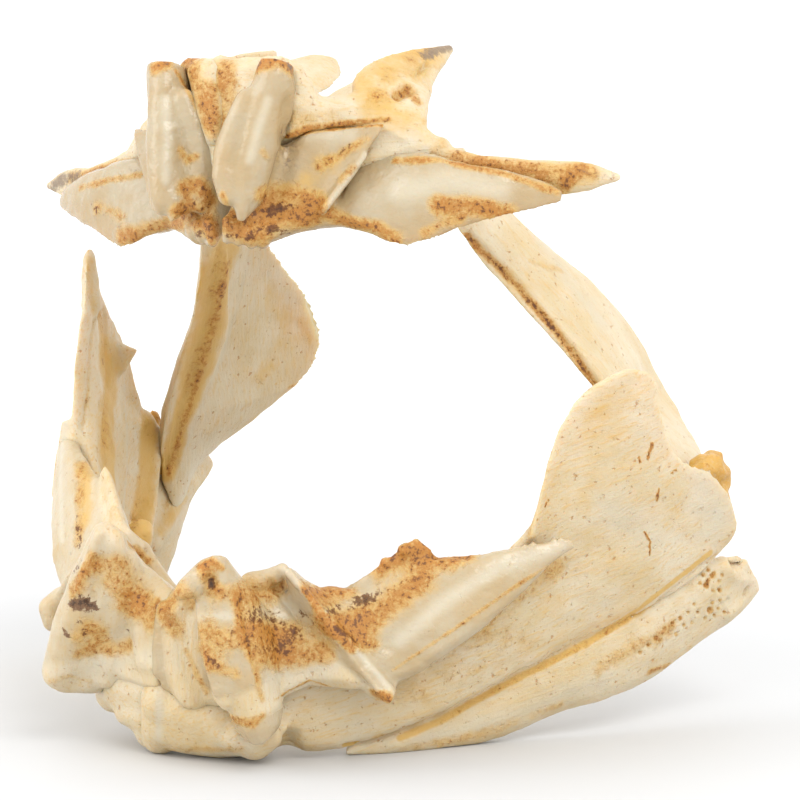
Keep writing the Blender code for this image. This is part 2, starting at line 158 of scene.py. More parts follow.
def relaxed(places: np.ndarray, edges: np.ndarray, share: float) -> np.ndarray:
    """Move each vertex a share of the way to the mean of its neighbours.

    Args:
        places: One row a vertex.
        edges: One row of two vertex numbers an edge.
        share: How far to go; below zero it moves away.

    Returns:
        The new places.
    """
    count = len(places)
    first, second = edges[:, 0], edges[:, 1]
    degree = np.bincount(first, minlength=count) + np.bincount(second, minlength=count)
    moved = np.empty_like(places)
    for axis in range(places.shape[1]):
        total = np.bincount(first, weights=places[second, axis], minlength=count)
        total += np.bincount(second, weights=places[first, axis], minlength=count)
        mean = total / np.maximum(degree, 1)
        moved[:, axis] = places[:, axis] + share * (mean - places[:, axis])
    return moved


class Surface:
    """The skin of a piece while it is carved and painted."""

    # How finely a line is followed, and how many millimetres before and behind the target are searched.
    STEP, REACH = 2.0, 60
    # The shares of the way to the neighbours' mean when filling, softening and smoothing.
    FILLING, SOFTENING, SMOOTHING = 0.9, 0.5, (0.6, -0.62)
    # The stained patches: their grain in millimetres, their noise, and each tone's strength and most.
    GRAIN, PATCHES, STAIN_PATCH, GOLD_PATCH = 11.0, (0.9, 2.2, 3), (0.7, 0.42), (0.8, 0.5)

    def __init__(self, piece: bpy.types.Object) -> None:
        """Read the piece's mesh.

        Args:
            piece: The object whose mesh is worked on.
        """
        self.mesh = piece.data
        self.tones = {tone: np.zeros(len(self.mesh.vertices)) for tone in Tone}
        edges = np.zeros(len(self.mesh.edges) * 2, np.int32)
        self.mesh.edges.foreach_get("vertices", edges)
        self.edges = edges.reshape(-1, 2)
        self.read()

    def read(self) -> None:
        """Read the places and normals again and build the tree that rays are cast on."""
        self.places = vertex_values(self.mesh, "co")
        self.normals = vertex_values(self.mesh, "normal")
        polygons = [tuple(face.vertices) for face in self.mesh.polygons]
        self.tree = BVHTree.FromPolygons([Vector(p) for p in self.places], polygons)

    def write_places(self) -> None:
        """Put the worked places back in the mesh."""
        self.mesh.vertices.foreach_set("co", self.places.astype(np.float32).ravel())
        self.mesh.update()

    def smooth(self, rounds: int) -> None:
        """Even the surface without shrinking it.

        Args:
            rounds: How many pairs of steps.
        """
        for share in self.SMOOTHING * rounds:
            self.places = relaxed(self.places, self.edges, share)
        self.write_places()
        self.read()

    def fillet(self, rounds: int) -> None:
        """Fill the creases and leave the edges as they are.

        Args:
            rounds: How far the filling spreads.
        """
        for _ in range(rounds):
            even = relaxed(self.places, self.edges, self.FILLING)
            lift = ((even - self.places) * self.normals).sum(1)
            self.places = np.where((lift > 0)[:, None], even, self.places)
        self.write_places()
        self.read()

    def soften(self, rounds: int) -> None:
        """Wear down the edges.

        Args:
            rounds: How many steps towards the neighbours.
        """
        for _ in range(rounds):
            self.places = relaxed(self.places, self.edges, self.SOFTENING)

    def trace(self, path: Path) -> tuple[np.ndarray, np.ndarray]:
        """Follow a path over the skin.

        Args:
            path: Points of the picture.

        Returns:
            The places met and the skin's normals there.
        """
        places, normals = [], []
        ends = list(zip(path, path[1:])) or [(path[0], path[0])]
        for start, end in ends:
            count = max(int(math.dist(start, end) / self.STEP), 1)
            for index in range(count + 1):
                x, y = (a + (b - a) * index / count for a, b in zip(start, end))
                place, normal, _, _ = self.tree.ray_cast(EYE.place(), EYE.ray(x, y))
                if place is not None:
                    places.append(place)
                    normals.append(normal)
        return np.array(places, float).reshape(-1, 3), np.array(normals, float).reshape(-1, 3)

    def settle(self, x: float, y: float) -> Vector:
        """Return the place of the skin seen at a point of the picture, or the nearest depth beside it.

        Args:
            x: Steps to the right of the picture's left edge.
            y: Steps down from its top edge.

        Returns:
            The place, in metres.
        """
        ray = EYE.ray(x, y)
        place, _, _, _ = self.tree.ray_cast(EYE.place(), ray)
        if place is not None:
            return place
        near, best = math.inf, EYE.place()
        for step in range(-self.REACH, self.REACH + 1):
            spot = EYE.place() + ray * (EYE.distance + step) * MM
            _, _, _, gap = self.tree.find_nearest(spot)
            if gap < near:
                near, best = gap, spot
        return best

    def nearness(self, path: Path, width: float) -> np.ndarray:
        """Return how near each vertex is to a path, from 0 to 1.

        Args:
            path: The path, as trace takes it.
            width: Half the width of the band, in millimetres.

        Returns:
            One number a vertex.
        """
        near = np.zeros(len(self.places))
        points, normals = self.trace(path)
        if not len(points):
            return near
        reach = width * MM
        low, high = points.min(0) - reach, points.max(0) + reach
        inside = np.flatnonzero(((self.places > low) & (self.places < high)).all(1))
        if not len(inside):
            return near
        closest = np.full(len(inside), np.inf)
        facing = np.zeros(len(inside))
        for point, normal in zip(points, normals):
            gap = np.linalg.norm(self.places[inside] - point, axis=1)
            nearer = gap < closest
            closest[nearer] = gap[nearer]
            facing[nearer] = self.normals[inside[nearer]] @ normal
        # Skin that faces another way than the line's own stays as it is.
        share = np.clip(1 - closest / reach, 0, 1) * np.clip(facing * 2 + 0.6, 0, 1)
        near[inside] = share * share * (3 - 2 * share)
        return near

    def carve(self, carvings: Iterable[Carving]) -> None:
        """Raise and cut the surface along the carvings.

        Args:
            carvings: The lines to carve.
        """
        for carving in carvings:
            near = self.nearness(carving.path, carving.width)
            self.places += self.normals * (near * carving.rise * MM)[:, None]
        self.write_places()
        self.read()

    def roughen(self, sizes: Sequence[tuple[float, float]], seed: float) -> None:
        """Move the surface in and out by even noise.

        Args:
            sizes: Pairs of a grain size and a height, in millimetres.
            seed: Where in the noise the piece starts.
        """
        shift = Vector((seed, seed * 0.37, -seed))
        for grain, height in sizes:
            scale = 1.0 / (grain * MM)
            lift = np.array([noise.noise(Vector(p) * scale + shift) for p in self.places])
            self.places += self.normals * (lift * height * MM)[:, None]
        self.write_places()
        self.read()

    def stand(self) -> None:
        """Wear off what would reach below the table."""
        self.places[:, 2] = np.maximum(self.places[:, 2], 0.0)
        self.write_places()
        self.read()

    def weather(self, seed: float) -> None:
        """Stain the sides that are turned away from the eye in patches.

        Args:
            seed: Where in the noise the piece starts.
        """
        shift = Vector((-seed, seed, seed * 0.61))
        patches = np.array([noise.fractal(Vector(p) / (self.GRAIN * MM) + shift, *self.PATCHES)
                            for p in self.places])
        away = np.clip(-(self.normals @ np.array(EYE.back())) * 3 + 0.2, 0, 1)
        for tone, swing, (strength, most) in ((Tone.STAIN_AND_SHADE, patches, self.STAIN_PATCH),
                                              (Tone.GOLD, -patches, self.GOLD_PATCH)):
            self.add(tone, np.clip(swing * strength, 0, most) * away)

    def hollow(self, rounds: int, depth: float) -> np.ndarray:
        """Return how deep each vertex lies in a crevice, from 0 to 1.

        Args:
            rounds: How wide a neighbourhood is compared.
            depth: The depth in millimetres that counts as 1.

        Returns:
            One number a vertex.
        """
        wide = self.places
        for _ in range(rounds):
            wide = relaxed(wide, self.edges, 1.0)
        lift = ((wide - self.places) * self.normals).sum(1)
        return np.clip(lift / (depth * MM), 0, 1)

    def paint(self, brushes: Iterable[Brush]) -> None:
        """Lay the brushes' tones over what is there.

        Args:
            brushes: The lines to paint.
        """
        for brush in brushes:
            near = self.nearness(brush.path, brush.width)
            self.add(brush.tone, near * brush.strength)

    def add(self, tone: Tone, amount: np.ndarray) -> None:
        """Lay an amount of a tone over what is there, or wipe it away.

        Args:
            tone: The tone.
            amount: One number a vertex, from -1, which wipes all, to 1.
        """
        laid = 1 - (1 - self.tones[tone]) * (1 - np.clip(amount, 0, 1))
        self.tones[tone] = laid * (1 + np.clip(amount, -1, 0))

    def write_tones(self) -> None:
        """Store each tone as a vertex attribute."""
        for tone, values in self.tones.items():
            layer = self.mesh.attributes.new(tone.value, "FLOAT", "POINT")
            layer.data.foreach_set("value", values.astype(np.float32))


class Shading:
    """A material's nodes while it is mixed."""

    # Where a Mix node keeps its share, its two colours and its result.
    SHARE, FIRST, SECOND, MIXED = 0, 6, 7, 2

    def __init__(self, name: str) -> None:
        """Start a material.

        Args:
            name: The material's name.
        """
        self.material = bpy.data.materials.new(name)
        self.material.use_nodes = True
        self.tree = self.material.node_tree
        self.shader = self.tree.nodes["Principled BSDF"]
        self.place = self.tree.nodes.new("ShaderNodeTexCoord").outputs["Object"]

    def feed(self, socket: bpy.types.NodeSocket, value: object) -> None:
        """Give a socket a number, a colour or another node's output.

        Args:
            socket: The input.
            value: What it gets.
        """
        if isinstance(value, bpy.types.NodeSocket):
            self.tree.links.new(value, socket)
        elif isinstance(value, tuple) and socket.type == "RGBA":
            socket.default_value = (*value, 1.0)
        else:
            socket.default_value = value

    def noise(self, scale: float, detail: float = 4.0, rough: float = 0.6,
              stretch: tuple[float, float, float] = (1.0, 1.0, 1.0),
              turn: tuple[float, float, float] = (0.0, 0.0, 0.0)) -> bpy.types.NodeSocket:
        """Return even noise.

        Args:
            scale: Grains a metre.
            detail: Finer layers in it.
            rough: Their strength.
            stretch: How much longer it is along each axis.
            turn: How the axes are turned, in degrees.

        Returns:
            The noise, around 0.5.
        """
        mapping = self.tree.nodes.new("ShaderNodeMapping")
        mapping.vector_type = "TEXTURE"
        mapping.inputs["Scale"].default_value = stretch
        mapping.inputs["Rotation"].default_value = tuple(math.radians(a) for a in turn)
        self.tree.links.new(self.place, mapping.inputs["Vector"])
        grain = self.tree.nodes.new("ShaderNodeTexNoise")
        for socket, value in (("Vector", mapping.outputs["Vector"]), ("Scale", scale),
                              ("Detail", detail), ("Roughness", rough)):
            self.feed(grain.inputs[socket], value)
        return grain.outputs["Fac"]

    def tone(self, tone: Tone) -> bpy.types.NodeSocket:
        """Return a painted tone.

        Args:
            tone: The tone.

        Returns:
            How much of it there is, from 0 to 1.
        """
        layer = self.tree.nodes.new("ShaderNodeAttribute")
        layer.attribute_name = tone.value
        return layer.outputs["Fac"]

    def ramp(self, value: object, low: float, high: float, to_low: float = 0.0,
             to_high: float = 1.0) -> bpy.types.NodeSocket:
        """Return a value stretched softly from one range to another.

        Args:
            value: The value.
            low: Where it starts to rise.
            high: Where it stops.
            to_low: The result below low.
            to_high: The result above high.

        Returns:
            The result.
        """
        node = self.tree.nodes.new("ShaderNodeMapRange")
        node.interpolation_type = "SMOOTHSTEP"
        for socket, given in (("Value", value), ("From Min", low), ("From Max", high),
                              ("To Min", to_low), ("To Max", to_high)):
            self.feed(node.inputs[socket], given)
        return node.outputs["Result"]

    def sum(self, operation: str, first: object, second: object) -> bpy.types.NodeSocket:
        """Return two values put together.

        Args:
            operation: ADD, SUBTRACT or MULTIPLY.
            first: The first value.
            second: The second value.

        Returns:
            The result.
        """
        node = self.tree.nodes.new("ShaderNodeMath")
        node.operation = operation
        self.feed(node.inputs[0], first)
        self.feed(node.inputs[1], second)
        return node.outputs[0]

    def mix(self, share: object, first: object, second: object) -> bpy.types.NodeSocket:
        """Return a colour between two.

        Args:
            share: How much of the second.
            first: The first colour.
            second: The second colour.

        Returns:
            The colour.
        """
        node = self.tree.nodes.new("ShaderNodeMix")
        node.data_type = "RGBA"
        for socket, value in ((self.SHARE, share), (self.FIRST, first), (self.SECOND, second)):
            self.feed(node.inputs[socket], value)
        return node.outputs[self.MIXED]

    def swing(self, grain: bpy.types.NodeSocket, strength: float) -> bpy.types.NodeSocket:
        """Return noise that swings around zero instead of 0.5, times a strength."""
        return self.sum("MULTIPLY", self.sum("SUBTRACT", grain, 0.5), strength)

    def layers(self, under: object, tints: Iterable[tuple]) -> bpy.types.NodeSocket:
        """Lay tints over a colour, each where its own value is high.

        Args:
            under: The colour below.
            tints: Each tint's value, where that starts and stops to rise, its strength and its colour.

        Returns:
            The colour on top.
        """
        for value, low, high, strength, tint in tints:
            under = self.mix(self.ramp(value, low, high, 0.0, strength), under, tint)
        return under

    def bump(self, height: object, distance: float, strength: float) -> bpy.types.NodeSocket:
        """Return a normal bent by a height.

        Args:
            height: The height, from 0 to 1.
            distance: What 1 stands for, in metres.
            strength: How much of it shows.

        Returns:
            The normal.
        """
        node = self.tree.nodes.new("ShaderNodeBump")
        self.feed(node.inputs["Height"], height)
        node.inputs["Distance"].default_value = distance
        node.inputs["Strength"].default_value = strength
        return node.outputs["Normal"]


@dataclass(frozen=True)
class SpecimenFinish:
    """Dry bone and enamel with the stains and the painted shade of the crevices painted on them."""

    name: str
    light: Colour
    warm: Colour
    enamel: Colour
    enamel_warm: Colour
    fibre_turn: tuple[float, float, float]
    fibre_strength: float = 0.3
    tan: Colour = (0.60, 0.36, 0.09)
    orange: Colour = (0.40, 0.155, 0.014)
    brown: Colour = (0.12, 0.038, 0.006)
    black: Colour = (0.05, 0.022, 0.008)
    grey: Colour = (0.20, 0.14, 0.095)
    gold: Colour = (0.57, 0.35, 0.085)
    pale: Colour = (0.55, 0.49, 0.37)
    roughness: float = 0.5
    scatter: float = 0.3
    scatter_reach: float = 0.0018
    scatter_colour: Colour = (1.0, 0.55, 0.28)
    gloss: float = 0.45
    enamel_roughness: float = 0.2
    stain_roughness: float = 0.5
    relief_height: float = 0.00025
    relief_strength: float = 0.6

    def material(self) -> bpy.types.Material:
        """Mix the material.

        Returns:
            The material, which reads the tones of the piece that wears it.
        """
        mixing = Shading(self.name)
        cloud = mixing.ramp(mixing.noise(110.0, 4.0), 0.32, 0.68)
        speckle = mixing.noise(2600.0, 3.0, 0.7)
        pore = mixing.noise(1500.0, 2.0, 0.5)
        fibre = mixing.noise(2600.0, 3.0, 0.6, (7.0, 1.0, 1.0), self.fibre_turn)
        strand = mixing.noise(700.0, 3.0, 0.6, (6.0, 1.0, 1.0), self.fibre_turn)
        blotch = mixing.noise(330.0, 6.0, 0.62)
        fine = mixing.noise(1700.0, 4.0, 0.7)
        bands = mixing.noise(900.0, 3.0, 0.5, (3.0, 3.0, 1.0))
        dapple = mixing.noise(620.0, 3.0, 0.55)
        enamel = mixing.ramp(mixing.tone(Tone.ENAMEL), 0.3, 0.7)
        cloudy = mixing.swing(blotch, 1.1)
        ragged = mixing.sum("ADD", cloudy, mixing.swing(fine, 1.5))
        gold = mixing.sum("ADD", mixing.tone(Tone.GOLD), mixing.swing(blotch, 0.8))
        # The stain tone holds painted crevice shade as well as stains; its light end lays tan over both.
        wash = mixing.sum("ADD", mixing.tone(Tone.STAIN_AND_SHADE), cloudy)
        specks = mixing.sum("ADD", wash, mixing.swing(fine, 3.6))
        stain_and_shade, dark, grey = (mixing.sum("ADD", mixing.tone(tone), ragged)
                             for tone in (Tone.STAIN_AND_SHADE, Tone.DARK, Tone.GREY))

        bone = mixing.layers(mixing.mix(cloud, self.light, self.warm), (
            (strand, 0.42, 0.72, self.fibre_strength * 0.5, self.tan),
            (fibre, 0.50, 0.70, self.fibre_strength, self.tan),
            (fibre, 0.50, 0.30, 0.25, self.pale),
            (speckle, 0.58, 0.78, 0.5, self.orange),
            (pore, 0.66, 0.74, 0.6, self.orange)))
        tooth = mixing.mix(mixing.ramp(cloud, 0.0, 1.0), self.enamel, self.enamel_warm)
        tooth = mixing.layers(tooth, ((bands, 0.45, 0.75, 0.35, self.enamel_warm),))
        colour = mixing.mix(mixing.tone(Tone.PALE), mixing.mix(enamel, bone, tooth), self.pale)
        colour = mixing.layers(colour, (
            (gold, 0.25, 0.80, 0.9, self.gold),
            (wash, 0.10, 0.65, 0.75, self.tan),
            (stain_and_shade, 0.42, 0.88, 0.88, self.orange),
            (specks, 0.95, 1.30, 0.9, self.brown),
            (dark, 0.40, 0.60, 0.85, self.brown),
            (dark, 0.70, 0.95, 0.9, self.black),
            (grey, 0.35, 0.90, 0.85, self.grey)))
        dull = mixing.ramp(enamel, 0.0, 1.0, self.roughness, self.enamel_roughness)
        dull = mixing.ramp(mixing.ramp(stain_and_shade, 0.3, 0.8), 0.0, 1.0, dull, self.stain_roughness)

        relief = mixing.sum("ADD", mixing.sum("MULTIPLY", fibre, 0.8),
                            mixing.sum("MULTIPLY", speckle, 0.6))
        relief = mixing.sum("SUBTRACT", relief, mixing.ramp(pore, 0.64, 0.74, 0.0, 0.8))
        glaze = mixing.sum("ADD", mixing.sum("MULTIPLY", bands, 0.6),
                           mixing.sum("MULTIPLY", dapple, 1.8))
        crust = mixing.sum("MULTIPLY", mixing.ramp(stain_and_shade, 0.2, 0.9), mixing.sum("ADD", blotch, fine))
        relief = mixing.sum("ADD", mixing.mix(enamel, relief, glaze), crust)
        normal = mixing.bump(relief, self.relief_height, self.relief_strength)
        for socket, value in (("Base Color", colour), ("Roughness", dull), ("Normal", normal),
                              ("Specular IOR Level", self.gloss), ("Subsurface Weight", self.scatter),
                              ("Subsurface Scale", self.scatter_reach),
                              ("Subsurface Radius", self.scatter_colour)):
            mixing.feed(mixing.shader.inputs[socket], value)
        return mixing.material


@dataclass(frozen=True)
class FloorFinish:
    """Plain white table, paler away from the specimen."""

    colour: Colour = (0.60, 0.605, 0.61)
    near: float = 0.06
    far: float = 0.22
    glow: float = 0.35
    mottling: float = 0.995
    roughness: float = 0.7

    def material(self) -> bpy.types.Material:
        """Mix the material.

        Returns:
            The material, which glows faintly away from the specimen.
        """
        mixing = Shading("white_table")
        mottle = mixing.ramp(mixing.noise(30.0, 2.0), 0.3, 0.7)
        mixing.feed(mixing.shader.inputs["Base Color"],
                    mixing.mix(mottle, self.colour, tuple(c * self.mottling for c in self.colour)))
        mixing.shader.inputs["Roughness"].default_value = self.roughness
        mixing.shader.inputs["Emission Color"].default_value = (1.0, 1.0, 1.0, 1.0)
        distance = mixing.tree.nodes.new("ShaderNodeVectorMath")
        distance.operation = "LENGTH"
        mixing.feed(distance.inputs[0], mixing.place)
        mixing.feed(mixing.shader.inputs["Emission Strength"],
                    mixing.ramp(distance.outputs["Value"], self.near, self.far, 0.0, self.glow))
        return mixing.material


def deselect_all() -> None:
    """Leave nothing selected."""
    bpy.ops.object.select_all(action="DESELECT")


def make_active(piece: bpy.types.Object) -> None:
    """Select one object and work on it.

    Args:
        piece: The object.
    """
    deselect_all()
    piece.select_set(True)
    bpy.context.view_layer.objects.active = piece


@dataclass
class Bone:
    """One bone or tooth plate, worked up from its solid."""

    node: str
    slot: str
    finish: SpecimenFinish
    voxel: float = 0.28
    rounds: int = 14
    enamel: float = 0.0
    seed: float = 1.0
    # How strongly the crevices are darkened with stain and painted shade.
    crevice_stain_and_shade: float = 0.5
    grain: tuple[tuple[float, float], ...] = ((7.0, 0.35), (2.2, 0.12))
    filleting: int = 12
    softening: int = 3
    clay: tuple[Clay, ...] = ()
    carvings: tuple[Carving, ...] = ()
    brushes: tuple[Brush, ...] = ()

    # In millimetres: how near two corners merge, and how deep a crevice takes the full stain and painted
    # shade.
    MERGE_DISTANCE, CREVICE_DEPTH = 0.01, 0.5
    # How far apart a rope's balls are, in radii, and how many neighbours away a crevice is compared.
    BALL_SPACING, CREVICE_WIDTH = 0.3, 40

    def add_clay(self, piece: bpy.types.Object) -> None:
        """Build the bone up with ropes of small balls, joined to it before it gets its skin.

        Args:
            piece: The bone.
        """
        base = Surface(piece)
        balls = []
        for clay in self.clay:
            for start, end in zip(clay.path, clay.path[1:]):
                length = math.dist(start[:2], end[:2]) * EYE.pitch
                count = max(int(length / (self.BALL_SPACING * min(start[2], end[2]))), 1)
                for index in range(count + 1):
                    x, y, radius = (a + (b - a) * index / count for a, b in zip(start, end))
                    centre = base.settle(x, y)
                    if clay.deep_as is not None:
                        depth = (base.settle(*clay.deep_as) - EYE.place()).dot(EYE.back())
                        centre = EYE.place() + EYE.ray(x, y) * (depth / EYE.ray(x, y).dot(EYE.back()))
                    centre += EYE.ray(x, y) * (radius - clay.rise) * MM
                    deselect_all()
                    bpy.ops.mesh.primitive_ico_sphere_add(subdivisions=2, radius=radius * MM,
                                                          location=centre)
                    balls.append(bpy.context.object)
        if balls:
            make_active(piece)
            for ball in balls:
                ball.select_set(True)
            bpy.ops.object.join()

    def copy_solid(self) -> bpy.types.Object:
        """Copy the solid's mesh, merge it and give it an even skin.

        Returns:
            The new object.
        """
        piece = bpy.data.objects.new(self.node + "_bone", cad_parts[self.node].data.copy())
        bpy.context.scene.collection.objects.link(piece)
        make_active(piece)
        bpy.ops.object.mode_set(mode="EDIT")
        bpy.ops.mesh.select_all(action="SELECT")
        bpy.ops.mesh.remove_doubles(threshold=self.MERGE_DISTANCE * MM)
        bpy.ops.object.mode_set(mode="OBJECT")
        self.add_clay(piece)
        make_active(piece)
        skin = piece.modifiers.new("skin", "REMESH")
        skin.mode = "VOXEL"
        skin.voxel_size = self.voxel * MM
        bpy.ops.object.modifier_apply(modifier=skin.name)
        return piece

    def shape(self, skin: Surface) -> None:
        """Fill, smooth, roughen and carve the bone.

        Args:
            skin: Its surface.
        """
        skin.fillet(self.filleting)
        skin.soften(self.softening)
        skin.smooth(self.rounds)
        skin.roughen(self.grain, self.seed)
        skin.carve(self.carvings)
        skin.stand()

    def dress(self, skin: Surface) -> None:
        """Lay on the enamel, the stain and painted shade in the crevices, and the painted lines.

        Args:
            skin: Its surface.
        """
        skin.add(Tone.ENAMEL, np.full(len(skin.places), self.enamel))
        # The deeper a crevice, the more stain and painted shade it gets.
        skin.add(Tone.STAIN_AND_SHADE, skin.hollow(self.CREVICE_WIDTH, self.CREVICE_DEPTH) * self.crevice_stain_and_shade)
        skin.weather(self.seed)
        skin.paint(self.brushes)
        skin.write_tones()

    def build(self) -> None:
        """Model and dress the bone, and put it in the solid's place."""
        piece = self.copy_solid()
        skin = Surface(piece)
        self.shape(skin)
        self.dress(skin)
        piece.data.materials.clear()
        piece.data.materials.append(self.finish.material())
        make_active(piece)
        bpy.ops.object.shade_smooth()
        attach(piece, "root")
        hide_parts(self.node)
        log.info("%s: %d faces", piece.name, len(piece.data.polygons))


@dataclass
class Assembly:
    """One jaw, or the joints between the jaws, with all its bones."""

    name: str
    bones: tuple[Bone, ...]

    def build(self) -> None:
        """Build the bones in order."""
        for bone in self.bones:
            bone.build()
        log.info("%s: %d pieces", self.name, len(self.bones))


@dataclass
class Studio:
    """White table, soft lights and the camera."""

    floor_size: float = 6.0
    key_place: tuple[float, float, float] = (0.40, -0.22, 0.45)
    key_size: float = 0.34
    key_power: float = 1.8
    fill_place: tuple[float, float, float] = (-0.45, -0.45, 0.25)
    fill_size: float = 0.5
    fill_power: float = 1.9
    surround: float = 1.35
    clip_start: float = 0.01
    clip_end: float = 20.0

    def build(self) -> None:
        """Set up everything that isn't the specimen."""
        deselect_all()
        bpy.ops.mesh.primitive_plane_add(size=self.floor_size, location=(0.0, 0.0, 0.0))
        floor = bpy.context.object
        floor.name = "table"
        floor.data.materials.append(FloorFinish().material())
        target = Vector(EYE.target) * MM
        self.light("key", target + Vector(self.key_place), self.key_size, self.key_power)
        self.light("fill", target + Vector(self.fill_place), self.fill_size, self.fill_power)
        world = bpy.data.worlds.new("white_room")
        world.use_nodes = True
        room = world.node_tree.nodes["Background"].inputs
        room["Color"].default_value = (1.0, 1.0, 1.0, 1.0)
        room["Strength"].default_value = self.surround
        bpy.context.scene.world = world
        bpy.context.scene.view_settings.view_transform = "Standard"
        self.camera()

    def light(self, name: str, place: Vector, size: float, power: float) -> None:
        """Hang a soft light that faces the specimen.

        Args:
            name: Its name.
            place: Where it hangs.
            size: Its width.
            power: Its power.
        """
        lamp = bpy.data.lights.new(name, "AREA")
        lamp.size = size
        lamp.energy = power
        holder = bpy.data.objects.new(name, lamp)
        holder.location = place
        holder.rotation_euler = (Vector(EYE.target) * MM - place).to_track_quat("-Z", "Y").to_euler()
        bpy.context.scene.collection.objects.link(holder)

    def camera(self) -> None:
        """Put the camera at the eye."""
        data = bpy.data.cameras.new("camera")
        data.sensor_width = EYE.sensor
        data.lens = EYE.lens()
        data.clip_start = self.clip_start
        data.clip_end = self.clip_end
        camera = bpy.data.objects.new("camera", data)
        camera.location = EYE.place()
        camera.rotation_euler = (-EYE.back()).to_track_quat("-Z", "Y").to_euler()
        bpy.context.scene.collection.objects.link(camera)
        bpy.context.scene.camera = camera


def ink(tone: Tone, strength: float, width: float, *path: tuple[float, ...]) -> Brush:
    """Return a painted line; a strength above 1 sharpens its edge, and one below 0 wipes the tone away."""
    return Brush(tone, strength, width, path)


def rope(rise: float, *path: tuple[float, ...], deep_as: tuple[float, float] | None = None) -> Clay:
    """Return a rope of clay, each point of its path with its radius."""
    return Clay(rise, path, deep_as)


def cut(rise: float, width: float, *path: tuple[float, ...]) -> Carving:
    """Return a carved line, which sinks where the rise is below zero."""
    return Carving(rise, width, path)


stain_and_shade, dark, grey, gold, pale, enamel = (partial(ink, tone) for tone in Tone)

CREAM = SpecimenFinish("bone_and_enamel", light=(0.62, 0.535, 0.385), warm=(0.57, 0.45, 0.26),
                       enamel=(0.43, 0.355, 0.235), enamel_warm=(0.41, 0.30, 0.16),
                       fibre_turn=(0.0, 90.0, 0.0))


def grained(name: str, yaw: float, pitch: float, strength: float = 0.45) -> SpecimenFinish:
    """Return the finish of a bone whose fibres turn and dip by these degrees."""
    return replace(CREAM, name=name, fibre_turn=(0.0, pitch, yaw), fibre_strength=strength)


CARTILAGE_FINISH = SpecimenFinish("dry_cartilage", light=(0.56, 0.33, 0.07), warm=(0.40, 0.20, 0.03),
                                  enamel=(0.74, 0.46, 0.12), enamel_warm=(0.60, 0.32, 0.06),
                                  fibre_turn=(0.0, 0.0, 0.0), roughness=0.35)

